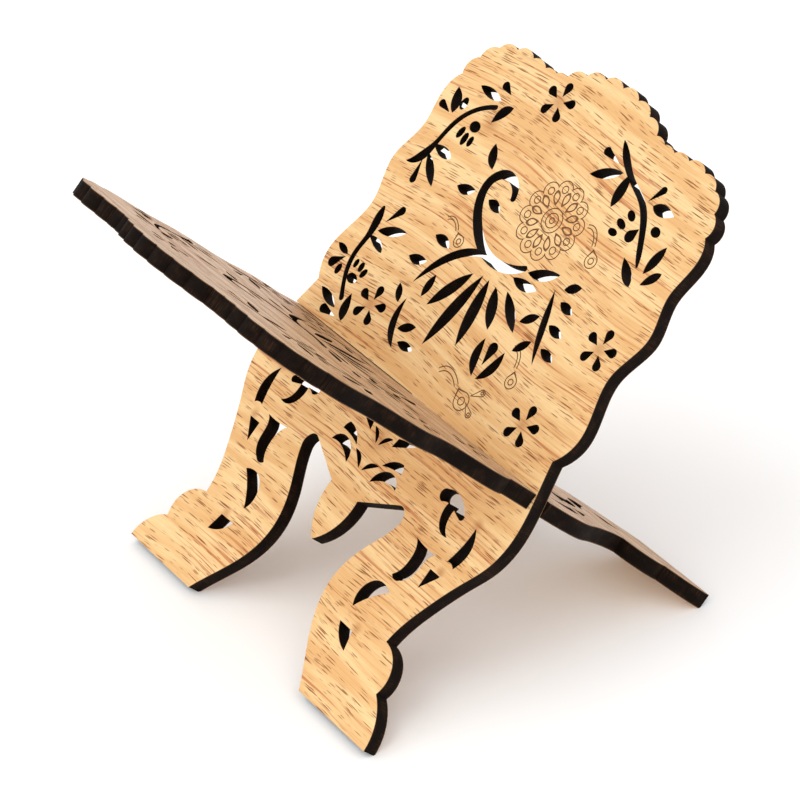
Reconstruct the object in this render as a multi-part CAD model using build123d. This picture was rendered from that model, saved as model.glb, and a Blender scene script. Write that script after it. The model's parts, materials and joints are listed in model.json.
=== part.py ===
from build123d import *
import math
import os

# Two-leaf book stand. Each leaf is one sheet of veneered board, cut through with a pattern, and the
# leaves cross at their middles: the rear leaf's slot runs in from its left edge, the front leaf's from
# its right edge, and each leaf fills the other's slot. Millimetres, +X right, +Z up, and the origin is on
# the floor below the middle of the whole stand.
#
# A leaf is drawn flat, with u across it and v up it from the crossing line.

# ---- driving dimensions ----
VENEER = 0.6               # thickness of each decorative veneer
CORE = 6.8                 # thickness of the fibreboard core
SLOT_SLACK = 0.8           # the slots are this much wider than the board
SLOT_END_GAP = 0.15        # each slot runs this far past the middle
LEAN = 45.0                # each leaf leans this many degrees from upright
SOLE_FLAT = 1.2            # width of the worn flat that each foot stands on
ENGRAVE_DEPTH = 0.25
ENGRAVE_WIDTH = 0.55

FOOT_V = -132.4            # bottom edge of the feet
FOOT_OUTER_U = 100.0
FOOT_INNER_U = 47.6
LEFT_STEP_DROP = 3.8       # the left foot's steps are cut this much lower than the right foot's
SCALLOP_ROUNDNESS = 50.0   # a scallop's rise is its width squared, divided by this
FRONT_HEAD_LIFT = 9.7      # the front leaf's head stands this much higher than the rear leaf's
HEAD_BASE = 100.0          # the head is what lies above this height on a leaf
CROOK_SHIFT = 1.0          # the left leg's crook sits this far out, and the right leg's this far in
FOOT_MARK_SHIFT = 1.7      # the same for the mark on the foot

BOARD = CORE + 2 * VENEER
SLOT_WIDTH = BOARD + SLOT_SLACK
LEAN_SIN = math.sin(math.radians(LEAN))
LEAN_COS = math.cos(math.radians(LEAN))
AXIS_HEIGHT = -FOOT_V * LEAN_COS + BOARD / 2 * LEAN_SIN - SOLE_FLAT / 2
AXIS_Y = FRONT_HEAD_LIFT * LEAN_SIN / 2    # the crossing line, behind the middle of the whole stand
BIG = 400.0                # larger than the whole stand

# ---- outline, right-hand half; the left half is its mirror image ----
FOOT_STEPS = [(86.8, -109.8), (74.0, -89.2)]
STEP_HOLLOWS = [3.2, 6.2]
LEG_CURVE = [(76.4, -79.0), (81.3, -67.0), (91.2, -47.6), (97.4, -36.5), (100.9, -22.0), (99.6, -6.0)]
WAIST_NOTCH = (93.6, 19.6)
SIDE_WAVE = [(99.3, 36.5), (93.0, 64.5), (98.9, 87.5), (94.0, 107.0), (96.2, 124.0), (95.4, 132.0)]
SCALLOP_NOTCHES = [
    (92.0, 137.6), (88.3, 148.5), (81.1, 157.1), (70.4, 161.0), (58.4, 161.7), (48.3, 161.1),
    (40.7, 161.9), (33.5, 163.2), (23.4, 168.5), (12.2, 171.8), (0.0, 172.7),
]
LEG_INNER = [
    (33.8, -111.4), (27.3, -98.8), (24.7, -87.0), (26.0, -75.0), (30.7, -63.7), (36.2, -54.2), (39.8, -46.0),
]
ARCH_TOP = [(39.6, -41.6), (37.4, -38.8), (33.6, -38.6)]
PENDANT_SHOULDER = (10.6, -49.8)
PENDANT_SIDE = (8.9, -64.0)
PENDANT_TIP = (0.0, -76.6)

# ---- flowers: centres, and the petals that all of them have ----
FLOWERS = [(-28.9, 151.6), (78.5, 71.2), (66.7, 23.9), (-54.9, 24.7)]
FLOWER_PETALS = 5
FLOWER_TURN = 87.0         # direction of the first petal, in degrees
PETAL_POINT_RADIUS = 2.6   # from the flower's centre to a petal's point
PETAL_CENTER_RADIUS = 8.0
PETAL_END_RADIUS = 2.35

# ---- palmette and tulip in the middle of the panel ----
PALMETTE_U = -3.0          # the point that its leaves fan down from
PALMETTE_V = 80.0
# its leaves: turn from straight down in degrees, how near and how far they reach, width
PALMETTE_LEAVES = [
    (-29, 17.0, 45.0, 6.4), (-10, 13.0, 56.0, 7.0), (10, 13.0, 47.0, 7.0), (31, 16.0, 37.0, 6.4),
    (52, 20.0, 42.0, 5.6),
]
TULIP_U = 25.6
TULIP_V = 38.6

# ---- engraved roundel and sprigs ----
ROUNDEL_CENTER = (10.4, 105.4)
ROUNDEL_RINGS = [1.4, 3.6, 6.0]
ROUNDEL_PETALS = 12
ROUNDEL_PETAL_REACH = (7.2, 15.2)
ROUNDEL_RADIUS = 16.0
LOBE_CENTER_RADIUS = 15.4
LOBE_RADIUS = 4.6
LOBE_EYE_RADIUS = 1.5
# sprigs: u, v, turn in degrees, size
SPRIGS = [(-36.2, 77.0, -14, 9.4), (40.0, 107.4, -34, 11.0), (43.4, 43.0, -44, 10.4), (19.0, 20.4, -4, 14.0)]


# ---- drawing helpers ----
def bulge(start, end, rise):
    """An arc from start to end that stands rise to the left of the straight line between them."""
    du = end[0] - start[0]
    dv = end[1] - start[1]
    length = math.hypot(du, dv)
    middle = ((start[0] + end[0]) / 2 - dv / length * rise, (start[1] + end[1]) / 2 + du / length * rise)
    return ThreePointArc(start, middle, end)


def face_of(edges):
    return make_face(Curve() + edges)


def leaf(tail, tip, width, fat=0.5, bend=0.0):
    """A pointed leaf from tail to tip, widest at the share fat of its length, bent sideways by bend.

    Each side is a cubic curve, which comes three quarters of the way out to its control points.
    """
    du = tip[0] - tail[0]
    dv = tip[1] - tail[1]
    length = math.hypot(du, dv)
    across = (-dv / length, du / length)
    sides = []
    for half_width in (width * 2 / 3, -width * 2 / 3):
        controls = []
        for share in (fat - 0.2, fat + 0.2):
            offset = half_width + bend * 4 / 3
            control_u = tail[0] + du * share + across[0] * offset
            control_v = tail[1] + dv * share + across[1] * offset
            controls.append((control_u, control_v))
        sides.append(Bezier(tail, controls[0], controls[1], tip))
    return face_of(sides)


def drop(point, center, radius):
    """A teardrop: a round end of that radius at center, drawn out to a sharp point."""
    reach = math.hypot(point[0] - center[0], point[1] - center[1])
    heading = math.atan2(point[1] - center[1], point[0] - center[0])
    spread = math.acos(radius / reach)
    ends = []
    for side in (1, -1):
        angle = heading + side * spread
        ends.append((center[0] + radius * math.cos(angle), center[1] + radius * math.sin(angle)))
    far = (center[0] - radius * math.cos(heading), center[1] - radius * math.sin(heading))
    return face_of([Line(point, ends[0]), ThreePointArc(ends[0], far, ends[1]), Line(ends[1], point)])


def bud(u, v, width, height, turn=0.0):
    return Pos(u, v) * Rot(0, 0, turn) * Ellipse(width / 2, height / 2)


def stroke(*stations):
    """A brush stroke through (u, v, width) stations. An end with no width is a point, any other is round."""
    last = len(stations) - 1
    left = []
    right = []
    for index, (u, v, width) in enumerate(stations):
        before = stations[max(index - 1, 0)]
        after = stations[min(index + 1, last)]
        du = after[0] - before[0]
        dv = after[1] - before[1]
        length = math.hypot(du, dv)
        left.append((u - dv / length * width / 2, v + du / length * width / 2))
        right.append((u + dv / length * width / 2, v - du / length * width / 2))
    edges = [Spline(*left), Spline(*right)]
    for end, inner in ((0, 1), (last, last - 1)):
        width = stations[end][2]
        if width > 0:
            du = stations[end][0] - stations[inner][0]
            dv = stations[end][1] - stations[inner][1]
            length = math.hypot(du, dv)
            cap = (stations[end][0] + du / length * width / 2, stations[end][1] + dv / length * width / 2)
            edges.append(ThreePointArc(left[end], cap, right[end]))
    return face_of(edges)


def mirrored(shapes):
    return [mirror(shape, about=Plane.YZ) for shape in shapes]


# ---- outline ----
def lifted(points, head_lift):
    return [(u, v + head_lift if v > HEAD_BASE else v) for u, v in points]


def half_outline(step_drop, head_lift):
    """The right-hand edges, from the inner corner of the foot, round by the top, and down to the tip."""
    inner_corner = (FOOT_INNER_U, FOOT_V)
    outer_corner = (FOOT_OUTER_U, FOOT_V)
    steps = [(u, v - step_drop) for u, v in FOOT_STEPS]
    notches = lifted(SCALLOP_NOTCHES, head_lift)
    edges = [
        Line(inner_corner, outer_corner),
        bulge(outer_corner, steps[0], -STEP_HOLLOWS[0]),
        bulge(steps[0], steps[1], -STEP_HOLLOWS[1]),
        Spline(steps[1], *LEG_CURVE, WAIST_NOTCH),
        Spline(WAIST_NOTCH, *lifted(SIDE_WAVE, head_lift), notches[0]),
    ]
    for start, end in zip(notches, notches[1:]):
        width = math.hypot(end[0] - start[0], end[1] - start[1])
        edges.append(bulge(start, end, -width ** 2 / SCALLOP_ROUNDNESS))
    edges.append(Spline(inner_corner, *LEG_INNER))
    edges.append(Spline(LEG_INNER[-1], *ARCH_TOP))
    edges.append(Line(ARCH_TOP[-1], PENDANT_SHOULDER))
    edges.append(ThreePointArc(PENDANT_SHOULDER, PENDANT_SIDE, PENDANT_TIP))
    return edges


def leaf_outline(head_lift):
    left_half = mirrored(half_outline(LEFT_STEP_DROP, head_lift))
    return face_of(half_outline(0.0, head_lift) + left_half)


# ---- cut-outs ----
def flower(u, v):
    """Teardrop petals in a ring, points inwards, the first of them nearly straight up."""
    petals = []
    for count in range(FLOWER_PETALS):
        angle = math.radians(FLOWER_TURN + 360 / FLOWER_PETALS * count)
        point = (u + PETAL_POINT_RADIUS * math.cos(angle), v + PETAL_POINT_RADIUS * math.sin(angle))
        center = (u + PETAL_CENTER_RADIUS * math.cos(angle), v + PETAL_CENTER_RADIUS * math.sin(angle))
        petals.append(drop(point, center, PETAL_END_RADIUS))
    return petals


def upper_left_spray():
    stem = stroke(
        (-60.5, 133.2, 2.6), (-68.0, 129.0, 2.6), (-74.6, 122.0, 2.8), (-78.4, 113.0, 3.0),
        (-80.4, 102.5, 3.4), (-82.6, 96.0, 5.2), (-86.0, 91.4, 3.6), (-90.2, 89.0, 0.0),
    )
    return [
        stem + leaf((-80.5, 103.0), (-66.0, 101.6), 5.2, fat=0.6),
        leaf((-80.6, 98.2), (-66.0, 85.8), 5.0),
        drop((-81.4, 94.4), (-79.2, 83.8), 2.1),
        leaf((-77.0, 137.9), (-60.0, 137.0), 4.8),
        drop((-56.6, 141.8), (-63.0, 144.2), 2.2),
        leaf((-57.6, 126.0), (-50.4, 137.6), 5.6, fat=0.6, bend=1.2),
        bud(-79.4, 126.4, 4.6, 6.6),
        leaf((-88.8, 131.6), (-82.6, 119.6), 6.4, fat=0.55, bend=0.8),
        drop((-84.0, 119.0), (-91.8, 120.8), 2.0),
        bud(-64.6, 120.3, 7.2, 5.6),
        bud(-70.4, 114.5, 3.8, 6.6, -12),
        bud(-66.0, 112.9, 3.8, 6.8),
        bud(-61.8, 113.4, 3.4, 5.6),
    ]


def lower_left_spray():
    stem = stroke(
        (-84.2, 64.6, 2.2), (-83.0, 58.0, 5.2), (-82.2, 50.0, 3.6), (-83.0, 42.0, 3.0), (-81.6, 32.5, 3.0),
        (-78.0, 25.4, 2.6), (-73.4, 19.0, 3.0),
    )
    return [
        stem + leaf((-82.0, 50.6), (-68.4, 46.8), 4.2, fat=0.6, bend=0.8),
        leaf((-79.0, 54.4), (-61.6, 61.6), 5.2),
        drop((-77.8, 59.6), (-72.6, 68.6), 2.2),
        leaf((-96.0, 39.0), (-86.4, 37.0), 3.6),
        drop((-86.6, 35.6), (-92.4, 29.8), 2.6),
        bud(-86.2, 28.8, 3.8, 5.6),
        bud(-78.2, 36.0, 3.0, 4.8),
        bud(-73.9, 36.0, 3.4, 5.2),
        bud(-70.3, 34.2, 3.4, 5.4, -20),
        bud(-75.0, 29.2, 7.2, 5.0),
        leaf((-88.6, 17.6), (-73.4, 13.2), 4.8),
        drop((-70.0, 10.0), (-79.4, 9.8), 2.4),
        leaf((-69.2, 23.6), (-65.0, 10.0), 5.6, fat=0.6, bend=-0.8),
    ]


def upper_right_spray():
    stem = stroke(
        (18.8, 154.0, 0.0), (25.0, 148.6, 4.0), (33.0, 142.8, 3.4), (41.0, 138.8, 3.0), (49.0, 135.2, 3.4),
        (56.2, 129.0, 3.8), (62.0, 121.0, 3.4), (66.2, 114.4, 3.0), (68.6, 110.4, 1.4),
    )
    return [
        stem + leaf((34.2, 143.0), (35.2, 125.4), 6.0, fat=0.55),
        drop((24.6, 143.6), (14.2, 145.4), 2.1),
        leaf((13.0, 132.4), (30.0, 141.2), 5.4),
        drop((51.8, 136.6), (56.2, 144.8), 1.9),
        leaf((56.0, 136.4), (70.0, 137.6), 6.0, fat=0.4),
        bud(66.2, 127.5, 6.2, 4.8, -10),
        bud(48.8, 127.5, 6.2, 4.0, -28),
        bud(46.4, 122.0, 6.8, 3.8, -18),
        bud(44.9, 116.8, 5.8, 3.6),
        drop((57.2, 124.6), (54.9, 119.6), 3.0),
        leaf((77.0, 125.0), (74.0, 109.2), 5.4),
        leaf((83.4, 114.0), (76.2, 104.4), 4.6, fat=0.4),
        leaf((59.4, 110.6), (71.6, 100.8), 5.4, fat=0.6),
    ]


def palmette():
    """Leaves that fan down from one point under the vine."""
    leaves = []
    for turn, near, far, width in PALMETTE_LEAVES:
        heading = math.radians(turn - 90)
        tail = (PALMETTE_U + near * math.cos(heading), PALMETTE_V + near * math.sin(heading))
        tip = (PALMETTE_U + far * math.cos(heading), PALMETTE_V + far * math.sin(heading))
        leaves.append(leaf(tail, tip, width))
    return leaves


def vine():
    """The large vine that curls over the palmette, with the leaves along it."""
    curl = stroke(
        (-17.6, 103.4, 3.4), (-21.6, 109.0, 4.2), (-29.6, 110.6, 4.8), (-36.0, 104.4, 5.0),
        (-35.0, 94.6, 5.2), (-27.4, 84.6, 5.4), (-17.0, 77.4, 5.4), (-5.0, 74.6, 5.2), (6.0, 76.4, 4.6),
        (13.6, 80.6, 3.0),
    )
    branch = stroke((-12.0, 75.0, 3.0), (-24.0, 69.8, 4.4), (-33.6, 59.4, 4.0), (-40.4, 45.0, 0.0))
    return [
        curl + branch,
        leaf((16.4, 80.0), (34.0, 87.6), 5.8, bend=-0.8),
        leaf((10.6, 74.4), (27.4, 75.6), 5.4, bend=-0.8),
        leaf((-39.4, 108.6), (-47.0, 119.6), 5.4, bend=0.8),
        leaf((-40.4, 96.4), (-52.4, 93.4), 5.4, bend=0.8),
        leaf((-30.2, 96.4), (-19.8, 94.0), 5.0, bend=0.6),
        leaf((-33.4, 67.6), (-45.6, 69.0), 5.2, bend=-0.6),
        leaf((-40.4, 56.6), (-52.4, 54.0), 5.2, bend=0.6),
        leaf((-30.4, 54.4), (-30.8, 42.0), 4.6),
    ]


def tulip(u, v):
    """A bud between two leaves that open upwards from its foot."""
    return [
        leaf((u - 1.4, v - 11.4), (u - 7.4, v + 6.4), 5.2, bend=2.0),
        leaf((u + 1.4, v - 11.4), (u + 7.4, v + 6.4), 5.2, bend=-2.0),
        drop((u, v - 4.8), (u, v + 4.6), 2.9),
    ]


def side_twigs():
    """The two short leafy twigs, one on either side of the palmette."""
    left_stem = stroke((-27.4, 14.8, 0.0), (-33.8, 20.8, 4.0), (-37.2, 29.0, 3.6), (-37.4, 37.6, 0.0))
    right_stem = stroke((36.4, 81.0, 0.0), (40.6, 70.6, 3.6), (45.2, 59.0, 3.6), (50.8, 47.6, 0.0))
    return [
        left_stem, right_stem,
        leaf((-31.6, 23.8), (-21.8, 29.4), 4.6),
        leaf((-26.6, 18.8), (-15.4, 19.6), 4.4),
        leaf((-41.0, 33.4), (-46.8, 41.4), 4.2),
        leaf((38.0, 67.4), (29.4, 60.0), 4.6),
        leaf((42.6, 56.0), (35.8, 47.4), 4.4),
        leaf((45.6, 66.6), (56.2, 65.0), 4.8),
        leaf((49.6, 56.0), (60.0, 54.0), 4.6),
        leaf((43.4, 78.0), (53.4, 76.2), 4.8),
        leaf((40.8, 83.4), (49.4, 88.6), 4.8),
    ]


def leg_cuts(spread):
    """The cuts down the right leg, from under the crossing to the foot. Spread moves the lowest two out."""
    crescent_top = (79.5, -24.5)
    crescent = face_of([
        Spline(crescent_top, (84.4, -33.4), (81.8, -45.3)),
        bulge((81.8, -45.3), (76.4, -44.2), -0.9),
        Spline((76.4, -44.2), (78.9, -34.0), crescent_top),
    ])
    cap = stroke((52.8, -21.8, 6.4), (60.0, -20.8, 6.2), (66.2, -23.4, 5.0), (68.4, -24.8, 3.6))
    stem = stroke((60.2, -22.6, 5.4), (60.0, -29.0, 5.2), (62.6, -33.8, 3.8), (68.2, -36.2, 0.0))
    hook = face_of([
        bulge((53.3, -44.4), (68.9, -45.3), -0.7),
        Spline((68.9, -45.3), (65.6, -50.6), (64.9, -57.4), (62.8, -62.0), (59.4, -64.8)),
        bulge((59.4, -64.8), (53.6, -64.4), 1.3),
        Spline((53.6, -64.4), (56.4, -60.4), (57.5, -54.0), (56.8, -49.2), (53.3, -44.4)),
    ])
    arrow = make_face(Polyline((70.8, -51.5), (78.6, -51.5), (70.9, -61.8), close=True))
    crook = face_of([
        Spline((59.9, -71.8), (55.6, -70.2), (49.8, -70.9), (45.2, -75.6), (43.9, -81.6), (46.0, -87.2)),
        Spline((46.0, -87.2), (49.4, -82.0), (53.6, -77.2), (59.9, -71.8)),
    ])
    foot_mark = face_of([
        Line((45.5, -95.7), (55.3, -95.9)),
        Line((55.3, -95.9), (57.9, -105.2)),
        bulge((57.9, -105.2), (45.5, -95.7), 1.9),
    ])
    return [
        crescent, cap + stem, hook, arrow,
        Pos(spread * CROOK_SHIFT, 0) * crook,
        Pos(spread * FOOT_MARK_SHIFT, 0) * foot_mark,
    ]


def centre_cuts():
    """The right-hand half of the palmette over the pendant."""
    upper_leaf = face_of([
        Spline((10.4, -30.0), (14.8, -25.3), (21.8, -23.3)),
        bulge((21.8, -23.3), (23.7, -27.7), 0.4),
        Spline((23.7, -27.7), (17.4, -28.1), (10.4, -30.0)),
    ])
    lower_leaf = face_of([
        Spline((9.7, -39.4), (11.6, -33.4), (17.4, -29.9), (22.6, -30.6), (26.0, -35.0)),
        Spline((26.0, -35.0), (20.0, -34.4), (14.4, -36.2), (9.7, -39.4)),
    ])
    crown_leaf = face_of([
        Line((8.6, -20.6), (9.7, -15.4)),
        bulge((9.7, -15.4), (21.6, -13.8), 0.5),
        Spline((21.6, -13.8), (15.2, -17.4), (8.6, -20.6)),
    ])
    return [
        upper_leaf, lower_leaf, crown_leaf,
        leaf((1.2, -37.8), (9.4, -31.3), 2.5, bend=1.3),
        leaf((1.0, -24.0), (7.3, -17.5), 2.2, bend=1.1),
    ]


def cut_outs():
    cuts = leg_cuts(-1) + mirrored(leg_cuts(1)) + centre_cuts() + mirrored(centre_cuts())
    cuts += vine() + palmette() + tulip(TULIP_U, TULIP_V) + side_twigs()
    cuts += upper_left_spray() + lower_left_spray() + upper_right_spray()
    for u, v in FLOWERS:
        cuts += flower(u, v)
    return cuts


# ---- engraving ----
def line(*points):
    return stroke(*[(u, v, ENGRAVE_WIDTH) for u, v in points])


def ring(u, v, radius):
    half = ENGRAVE_WIDTH / 2
    return Pos(u, v) * (Circle(radius + half) - Circle(radius - half))


def engraved_drop(point, center, radius):
    """The thin outline of a teardrop, with a small ring inside its round end."""
    share = 2.5 * ENGRAVE_WIDTH / math.hypot(center[0] - point[0], center[1] - point[1])
    inner_point = (point[0] + (center[0] - point[0]) * share, point[1] + (center[1] - point[1]) * share)
    inside = drop(inner_point, center, radius - ENGRAVE_WIDTH)
    return [drop(point, center, radius) - inside, ring(center[0], center[1], 0.4 * radius)]


def roundel():
    """A lobed roundel with a ring of petals: plain ornament in thin lines."""
    lines = [ring(0, 0, radius) for radius in ROUNDEL_RINGS]
    lobed_edge = Circle(ROUNDEL_RADIUS)
    lobed_hollow = Circle(ROUNDEL_RADIUS - ENGRAVE_WIDTH)
    tail, tip = ROUNDEL_PETAL_REACH
    petal = leaf((tail, 0), (tip, 0), 4.0, fat=0.6) - leaf((tail + 1.6, 0), (tip - 1.4, 0), 2.6, fat=0.6)
    for count in range(ROUNDEL_PETALS):
        turn = 360 / ROUNDEL_PETALS * count
        lines.append(Rot(0, 0, turn) * petal)
        lobe_center = Rot(0, 0, turn + 180 / ROUNDEL_PETALS) * Pos(LOBE_CENTER_RADIUS, 0)
        lines.append(lobe_center * (Circle(LOBE_EYE_RADIUS + ENGRAVE_WIDTH) - Circle(LOBE_EYE_RADIUS)))
        lobed_edge += lobe_center * Circle(LOBE_RADIUS)
        lobed_hollow += lobe_center * Circle(LOBE_RADIUS - ENGRAVE_WIDTH)
    lines.append(lobed_edge - lobed_hollow)
    return lines


def sprig(size):
    """A small engraved tendril that ends in an open bud."""
    upper_side = [(-1.0, 0.0), (-0.62, 0.26), (-0.2, 0.2), (0.1, 0.04)]
    lower_side = [(-0.9, -0.1), (-0.58, 0.1), (-0.24, 0.05), (0.02, -0.1)]
    shapes = [line(*[(u * size, v * size) for u, v in side]) for side in (upper_side, lower_side)]
    return shapes + engraved_drop((0.2 * size, -0.04 * size), (0.66 * size, -0.3 * size), 0.34 * size)


def engraving():
    placed = [Pos(*ROUNDEL_CENTER) * shape for shape in roundel()]
    placed += engraved_drop((30.4, 19.6), (36.0, 24.2), 1.9)
    placed += engraved_drop((30.4, 16.6), (36.2, 12.8), 1.9)
    for u, v, turn, size in SPRIGS:
        placed += [Pos(u, v) * Rot(0, 0, turn) * shape for shape in sprig(size)]
    return placed


# ---- leaves ----
def leaf_plane(toward_back):
    """Where a flat leaf stands: the rear leaf leans back from its feet, the front leaf leans forward."""
    facing = (0, -LEAN_SIN, LEAN_COS) if toward_back else (0, -LEAN_SIN, -LEAN_COS)
    return Plane(origin=(0, AXIS_Y, AXIS_HEIGHT), x_dir=(1, 0, 0), z_dir=facing)


def slot(side):
    """The slot from one side edge to just past the middle. Side is +1 for the right edge."""
    length = BIG / 2
    return Pos(side * (length / 2 - SLOT_END_GAP), 0) * Rectangle(length, SLOT_WIDTH)


def layer(profile, bottom, thickness, plane):
    """One sheet of the leaf, set in its place and levelled where its feet meet the floor."""
    sheet = extrude(profile, amount=thickness)
    placed = plane * (Pos(0, 0, bottom) * sheet)
    below_floor = Pos(0, 0, -BIG / 2) * Box(BIG, BIG, BIG)
    return placed - below_floor


def build_leaf(name, slot_side, toward_back, head_lift):
    profile = leaf_outline(head_lift) - cut_outs() - slot(slot_side)
    plane = leaf_plane(toward_back)
    lines = Sketch() + engraving()
    grooves = plane * (Pos(0, 0, BOARD / 2 - ENGRAVE_DEPTH) * extrude(lines, amount=2 * ENGRAVE_DEPTH))
    return {
        name + "_core": layer(profile, -CORE / 2, CORE, plane),
        name + "_face_veneer": layer(profile, CORE / 2, VENEER, plane) - grooves,
        name + "_back_veneer": layer(profile, -BOARD / 2, VENEER, plane),
    }


def main():
    os.makedirs("parts", exist_ok=True)
    sheets = build_leaf("rear_leaf", -1, True, 0.0)
    sheets.update(build_leaf("front_leaf", 1, False, FRONT_HEAD_LIFT))
    for name, sheet in sheets.items():
        export_step(sheet, os.path.join("parts", name + ".step"))
        print(name, round(sheet.volume), len(sheet.solids()))


main()
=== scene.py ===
import json
import math

import bpy
from mathutils import Matrix, Quaternion, Vector

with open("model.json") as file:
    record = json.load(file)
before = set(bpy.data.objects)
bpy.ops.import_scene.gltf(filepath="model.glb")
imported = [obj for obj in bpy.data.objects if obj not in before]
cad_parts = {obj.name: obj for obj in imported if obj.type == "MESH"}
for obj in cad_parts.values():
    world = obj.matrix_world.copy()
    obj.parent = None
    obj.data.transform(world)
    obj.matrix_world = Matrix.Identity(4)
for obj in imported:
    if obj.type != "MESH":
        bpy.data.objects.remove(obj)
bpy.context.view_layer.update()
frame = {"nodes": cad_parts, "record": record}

# ---- where the two leaves are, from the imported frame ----
BOARD = 0.008              # thickness of a leaf, in metres
LEAN = math.radians(45)    # each leaf leans this far from upright
cradle = next(mount for mount in frame["record"]["mounts"] if mount["name"] == "book_cradle")
CROSSING = Vector(cradle["pos_m"]) - Vector((0, 0, BOARD / 2 / math.cos(LEAN)))

# A leaf's own coordinates are u across it, v up it from the crossing and n out of its face, in
# millimetres. These angles turn the stand's coordinates into them.
LEAF_TURNS = {"rear_leaf": -LEAN, "front_leaf": LEAN - math.pi}
MM_PER_METRE = 1000.0
FACE_N = BOARD / 2 * MM_PER_METRE

# ---- camera ----
CAMERA_AIM = CROSSING + Vector((-0.0061, -0.0023, 0))
CAMERA_AZIMUTH = math.radians(56.68)
CAMERA_ELEVATION = math.radians(34.13)
CAMERA_ROLL = math.radians(-1.6)
CAMERA_DISTANCE = 1.650
CAMERA_LENS = 162.2        # mm, on a 36 mm sensor

# ---- floor and lights ----
FLOOR_REACH = 6.0          # metres from the middle to each edge
FLOOR_WHITE = 0.92
SKY_STRENGTH = 0.98

# ---- colours, linear ----
# A veneer is a pale and a tan tone of one wood, with its pores and reddish streaks. The sheet on a
# leaf's plain side is the same wood painted greyer and darker: painted shade and a painted grazing sheen.
FACE_TONES = ((0.80, 0.560, 0.270), (0.69, 0.405, 0.160))
BACK_SHADE_AND_SHEEN_TONES = ((0.62, 0.425, 0.262), (0.40, 0.245, 0.130))
RED_STREAK = (0.42, 0.115, 0.022)
PORE = (0.210, 0.060, 0.014)
SMOKE = (0.42, 0.170, 0.045)
BURNT_LINE = (0.17, 0.08, 0.03)
CHAR = (0.0055, 0.0026, 0.0014)
CHAR_WORN = (0.030, 0.013, 0.006)

# ---- grain, in millimetres: how long and how wide each kind of mark in the veneer is ----
TONE_PATCH = (80.0, 7.0)
STREAKY_BAND = (120.0, 26.0)
STREAK = (65.0, 1.2)
FIBRE = (14.0, 0.6)
CROWDED_PATCH = (60.0, 24.0)
LONG_PORE = (14.0, 0.80)
SHORT_PORE = (8.0, 0.70)

# The grain runs across the leaf and rises and falls in a wave, less so below the crossing.
WAVE_HEIGHT = 3.5
WAVE_LENGTH = 35.0         # over this the wave turns by one radian
WAVE_MIDDLE = 20.0         # u at which it crosses its own middle
LEG_WAVE = 0.3             # the share of its height that it keeps in the legs
LEG_FADE = (-30.0, 40.0)   # v over which it grows from that to its full height
WANDER = 8.0               # how far a slow, uneven wander moves the grain as well
WANDER_PER_MM = (0.011, 0.025)    # how fast that changes along u and along v

# ---- burnt edge of the core ----
PATCH_PER_MM = 0.12        # how fast the worn patches change across the leaf
PATCH_PER_MM_DEEP = 0.2    # and through it
MARK_PER_MM = 1.9          # how fast the beam's marks change across the leaf
MARK_PER_MM_DEEP = 0.12    # and through it

# ---- depths into the board, in millimetres ----
FACE_SKIN = (0.01, 0.04)   # past this a point is in an engraved line or in a cut
ENGRAVED = (0.26, 0.30)    # past this it is in a cut

# ---- soft brown smoke marks beside the cuts: u, v and radius in millimetres ----
PANEL_SMOKE = [
    (-28.9, 151.6, 9.0),
    (78.5, 71.2, 7.0),
    (66.7, 23.9, 6.0),
    (-54.9, 24.7, 6.0),
    (-57.0, 126.0, 8.0),
    (0.0, -22.0, 9.0),
]
LEG_SMOKE = [(55.0, -94.0, 4.5), (77.0, -49.5, 4.0), (79.5, -23.0, 4.5)]
OTHER_LEG_SMOKE = [(-u, v, radius) for u, v, radius in LEG_SMOKE]
SMOKE_MARKS = PANEL_SMOKE + LEG_SMOKE + OTHER_LEG_SMOKE

# ---- sockets of the Mix node when it mixes colours, by index because its names repeat ----
MIX_SHARE = 0
MIX_FIRST = 6
MIX_SECOND = 7
MIX_RESULT = 2


# ---- camera, floor and lights ----
def make_camera():
    data = bpy.data.cameras.new("camera")
    data.lens = CAMERA_LENS
    data.clip_start = 0.05
    data.clip_end = 50
    camera = bpy.data.objects.new("camera", data)
    bpy.context.scene.collection.objects.link(camera)
    level = math.cos(CAMERA_ELEVATION)
    back = Vector((
        math.sin(CAMERA_AZIMUTH) * level,
        -math.cos(CAMERA_AZIMUTH) * level,
        math.sin(CAMERA_ELEVATION),
    ))
    camera.location = CAMERA_AIM + back * CAMERA_DISTANCE
    camera.rotation_mode = "QUATERNION"
    aim = (-back).to_track_quat("-Z", "Y")
    camera.rotation_quaternion = aim @ Quaternion((0, 0, 1), CAMERA_ROLL)
    bpy.context.scene.camera = camera


def make_floor():
    mesh = bpy.data.meshes.new("floor")
    corners = [
        (-FLOOR_REACH, -FLOOR_REACH, 0),
        (FLOOR_REACH, -FLOOR_REACH, 0),
        (FLOOR_REACH, FLOOR_REACH, 0),
        (-FLOOR_REACH, FLOOR_REACH, 0),
    ]
    mesh.from_pydata(corners, [], [(0, 1, 2, 3)])
    floor = bpy.data.objects.new("floor", mesh)
    bpy.context.scene.collection.objects.link(floor)
    paint = bpy.data.materials.new("pale_floor")
    paint.use_nodes = True
    shader = paint.node_tree.nodes["Principled BSDF"]
    shader.inputs["Base Color"].default_value = (FLOOR_WHITE, FLOOR_WHITE, FLOOR_WHITE, 1)
    shader.inputs["Roughness"].default_value = 0.8
    shader.inputs["Specular IOR Level"].default_value = 0.2
    mesh.materials.append(paint)


def make_sun(name, direction, strength, softness, colour):
    """A distant light that shines from direction, softened over that many degrees of sky."""
    data = bpy.data.lights.new(name, "SUN")
    data.energy = strength
    data.angle = math.radians(softness)
    data.color = colour
    light = bpy.data.objects.new(name, data)
    light.rotation_mode = "QUATERNION"
    light.rotation_quaternion = Vector(direction).to_track_quat("Z", "Y")
    bpy.context.scene.collection.objects.link(light)


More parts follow.
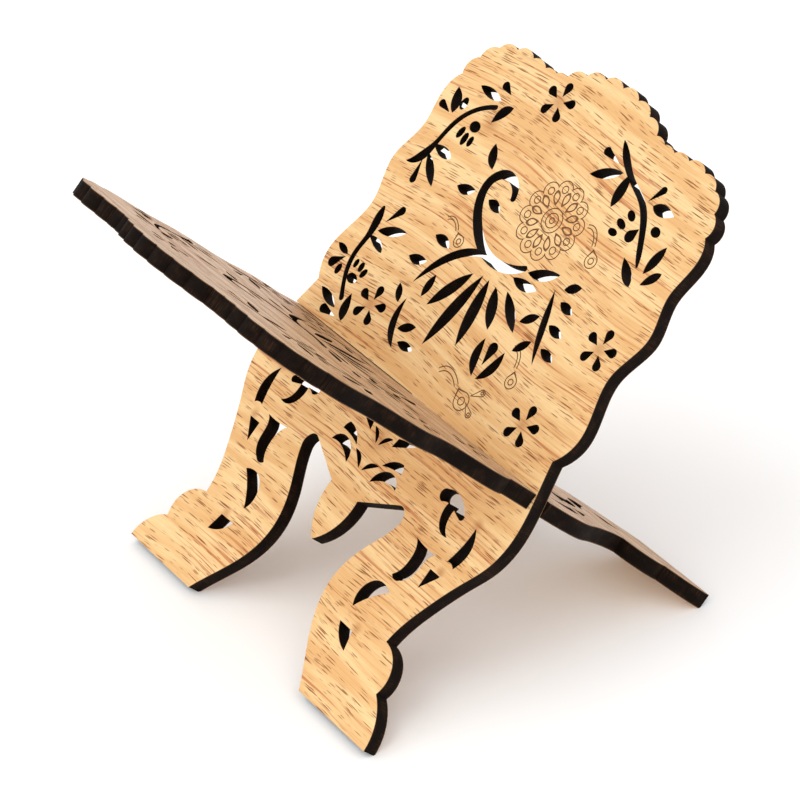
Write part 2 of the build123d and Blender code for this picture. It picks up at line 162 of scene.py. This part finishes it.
def make_lights():
    world = bpy.data.worlds.new("studio")
    world.use_nodes = True
    background = world.node_tree.nodes["Background"]
    background.inputs["Color"].default_value = (1, 1, 1, 1)
    background.inputs["Strength"].default_value = SKY_STRENGTH
    bpy.context.scene.world = world
    make_sun("key", (-0.20, -0.62, 0.78), strength=1.05, softness=55, colour=(1.0, 0.995, 0.98))
    make_sun("fill", (0.65, -0.25, 0.72), strength=0.55, softness=75, colour=(0.98, 0.99, 1.0))
    bpy.context.scene.view_settings.view_transform = "Standard"


# ---- node graphs ----
class Graph:
    """A material's nodes. Its methods take sockets or plain values, and give back output sockets."""

    def __init__(self, name):
        self.material = bpy.data.materials.new(name)
        self.material.use_nodes = True
        self.tree = self.material.node_tree
        self.shader = self.tree.nodes["Principled BSDF"]

    def node(self, kind, inputs, output=0, **settings):
        made = self.tree.nodes.new(kind)
        for key, value in settings.items():
            setattr(made, key, value)
        for key, value in inputs.items():
            self.feed(made.inputs[key], value)
        return made.outputs[output]

    def feed(self, socket, value):
        """Link value to the socket if it is a socket itself, and set it there if it is plain."""
        if isinstance(value, bpy.types.NodeSocket):
            self.tree.links.new(value, socket)
        else:
            socket.default_value = value

    def maths(self, operation, *values):
        return self.node("ShaderNodeMath", dict(enumerate(values)), operation=operation)

    def add(self, first, second):
        return self.maths("ADD", first, second)

    def times(self, first, second):
        return self.maths("MULTIPLY", first, second)

    def share(self, value, low, high):
        """0 where value is at low and 1 where it is at high, with a smooth rise between."""
        inputs = {"Value": value, "From Min": low, "From Max": high}
        return self.node("ShaderNodeMapRange", inputs, interpolation_type="SMOOTHSTEP")

    def mixed(self, share, first, second):
        """The first colour where share is 0, and the second where it is 1."""
        made = self.tree.nodes.new("ShaderNodeMix")
        made.data_type = "RGBA"
        self.feed(made.inputs[MIX_SHARE], share)
        for index, colour in ((MIX_FIRST, first), (MIX_SECOND, second)):
            self.feed(made.inputs[index], (*colour, 1) if isinstance(colour, tuple) else colour)
        return made.outputs[MIX_RESULT]

    def point(self, x, y, z):
        return self.node("ShaderNodeCombineXYZ", {"X": x, "Y": y, "Z": z})

    def noise(self, point, detail=2.0, roughness=0.5):
        inputs = {"Vector": point, "Scale": 1.0, "Detail": detail, "Roughness": roughness}
        return self.node("ShaderNodeTexNoise", inputs)

    def leaf_point(self, leaf):
        """The leaf's own u, v and n, in millimetres."""
        turn = Matrix.Rotation(LEAF_TURNS[leaf], 3, "X")
        place = self.node("ShaderNodeTexCoord", {}, output="Object")
        inputs = {
            "Vector": place,
            "Scale": (MM_PER_METRE, MM_PER_METRE, MM_PER_METRE),
            "Rotation": (LEAF_TURNS[leaf], 0, 0),
            "Location": -(turn @ CROSSING) * MM_PER_METRE,
        }
        mapped = self.node("ShaderNodeMapping", inputs)
        parts = self.tree.nodes.new("ShaderNodeSeparateXYZ")
        self.feed(parts.inputs[0], mapped)
        return parts.outputs["X"], parts.outputs["Y"], parts.outputs["Z"]


# ---- materials ----
def across_grain(graph, u, v, seed):
    """How far across the grain a point lies. The grain itself runs along u."""
    turned = graph.times(graph.add(u, -WAVE_MIDDLE), 1 / WAVE_LENGTH)
    wave = graph.times(graph.maths("SINE", turned), WAVE_HEIGHT)
    above_legs = graph.share(v, *LEG_FADE)
    kept = graph.add(LEG_WAVE, graph.times(above_legs, 1 - LEG_WAVE))
    wander_u, wander_v = (graph.times(value, rate) for value, rate in zip((u, v), WANDER_PER_MM))
    wander = graph.noise(graph.point(wander_u, wander_v, seed), detail=1.0)
    return graph.add(graph.add(v, graph.times(wave, kept)), graph.times(wander, WANDER))


def grain_place(graph, u, across, size, seed):
    """A point for a texture, counted in lengths along the grain and widths across it."""
    length, width = size
    return graph.point(graph.times(u, 1 / length), graph.times(across, 1 / width), seed)


def dashes(graph, place, keep):
    """Short strokes along the grain, one to a cell at most. Keep is the share of cells that have one."""
    cells = graph.tree.nodes.new("ShaderNodeTexVoronoi")
    graph.feed(cells.inputs["Vector"], place)
    cells.inputs["Scale"].default_value = 1.0
    cells.inputs["Randomness"].default_value = 0.9
    chance = graph.tree.nodes.new("ShaderNodeSeparateXYZ")
    graph.feed(chance.inputs[0], cells.outputs["Color"])
    chosen = graph.share(chance.outputs["X"], graph.maths("SUBTRACT", 1.0, keep), 1.0)
    size = graph.add(0.24, graph.times(chosen, 0.22))
    stroke = graph.share(cells.outputs["Distance"], size, graph.times(size, 0.5))
    return graph.times(stroke, graph.share(chosen, 0.0, 0.3))


def smoke(graph, u, v):
    """1 in the middle of each smoke mark, and 0 away from them all."""
    total = 0.0
    for mark_u, mark_v, radius in SMOKE_MARKS:
        across = graph.maths("SUBTRACT", u, mark_u)
        up = graph.maths("SUBTRACT", v, mark_v)
        far = graph.maths("SQRT", graph.add(graph.times(across, across), graph.times(up, up)))
        total = graph.maths("MAXIMUM", total, graph.share(far, radius, 0.0))
    return total


def veneer(sheet, leaf, tones, seed):
    """One sheet's wood on its open face, burnt brown in the engraved lines and black where it is cut."""
    graph = Graph("veneer_" + sheet)
    u, v, n = graph.leaf_point(leaf)
    across = across_grain(graph, u, v, seed)

    def texture(size, layer, **settings):
        return graph.noise(grain_place(graph, u, across, size, seed + layer), **settings)

    tone = graph.share(texture(TONE_PATCH, 1.0, detail=5.0), 0.37, 0.62)
    colour = graph.mixed(tone, *tones)
    bands = graph.share(texture(STREAKY_BAND, 2.0), 0.40, 0.56)
    streaks = graph.share(texture(STREAK, 3.0, detail=4.0), 0.53, 0.65)
    reddish = graph.times(streaks, graph.add(0.12, graph.times(bands, 0.65)))
    colour = graph.mixed(reddish, colour, RED_STREAK)
    fibres = graph.share(texture(FIBRE, 4.0, roughness=0.7), 0.38, 0.75)
    colour = graph.mixed(graph.times(fibres, 0.22), colour, RED_STREAK)

    crowded = graph.share(texture(CROWDED_PATCH, 5.0), 0.36, 0.60)
    keep_long = graph.add(0.26, graph.times(crowded, 0.44))
    keep_short = graph.add(0.24, graph.times(crowded, 0.42))
    long_pores = dashes(graph, grain_place(graph, u, across, LONG_PORE, seed + 6.0), keep_long)
    short_pores = dashes(graph, grain_place(graph, u, across, SHORT_PORE, seed + 7.0), keep_short)
    pores = graph.maths("MAXIMUM", long_pores, graph.times(short_pores, 0.85))
    colour = graph.mixed(graph.times(pores, 0.92), colour, PORE)
    colour = graph.mixed(graph.times(smoke(graph, u, v), 0.65), colour, SMOKE)

    depth = graph.maths("SUBTRACT", FACE_N, graph.maths("ABSOLUTE", n))
    below_face = graph.share(depth, *FACE_SKIN)
    below_lines = graph.share(depth, *ENGRAVED)
    colour = graph.mixed(below_face, colour, BURNT_LINE)
    colour = graph.mixed(below_lines, colour, CHAR)

    graph.feed(graph.shader.inputs["Base Color"], colour)
    roughness = graph.add(0.48, graph.times(graph.maths("MAXIMUM", pores, below_face), 0.4))
    graph.feed(graph.shader.inputs["Roughness"], roughness)
    graph.shader.inputs["Specular IOR Level"].default_value = 0.35
    relief = graph.add(graph.times(pores, -1.0), graph.times(fibres, -0.35))
    bump = graph.node("ShaderNodeBump", {"Height": relief, "Strength": 0.35, "Distance": 0.0001})
    graph.feed(graph.shader.inputs["Normal"], bump)
    return graph.material


def charred_board(leaf, seed):
    """The core's laser-cut edge: burnt nearly black, with the beam's marks straight through the board."""
    graph = Graph("charred_board_" + leaf)
    u, v, n = graph.leaf_point(leaf)
    patch_depth = graph.add(graph.times(n, PATCH_PER_MM_DEEP), seed)
    patch_place = graph.point(graph.times(u, PATCH_PER_MM), graph.times(v, PATCH_PER_MM), patch_depth)
    patches = graph.noise(patch_place, detail=3.0)
    mark_depth = graph.times(n, MARK_PER_MM_DEEP)
    marks = graph.noise(graph.point(graph.times(u, MARK_PER_MM), graph.times(v, MARK_PER_MM), mark_depth))
    worn = graph.times(graph.share(patches, 0.42, 0.72), graph.share(marks, 0.35, 0.7))
    graph.feed(graph.shader.inputs["Base Color"], graph.mixed(worn, CHAR, CHAR_WORN))
    graph.feed(graph.shader.inputs["Roughness"], graph.add(0.70, graph.times(marks, 0.2)))
    graph.shader.inputs["Specular IOR Level"].default_value = 0.08
    bump = graph.node("ShaderNodeBump", {"Height": marks, "Strength": 0.5, "Distance": 0.0002})
    graph.feed(graph.shader.inputs["Normal"], bump)
    return graph.material


def dress(node, material):
    """Give a piece its one material."""
    piece = frame["nodes"][node]
    piece.data.materials.clear()
    piece.data.materials.append(material)


make_camera()
make_floor()
make_lights()
for index, leaf in enumerate(LEAF_TURNS):
    dress(leaf + "_core", charred_board(leaf, 10.0 * index))
    # The plain side's sheet takes the greyer, darker tones, which hold painted shade and a painted
    # grazing sheen.
    for side, tones in enumerate((FACE_TONES, BACK_SHADE_AND_SHEEN_TONES)):
        sheet = leaf + ("_face_veneer", "_back_veneer")[side]
        dress(sheet, veneer(sheet, leaf, tones, 20.0 * index + 10.0 * side))
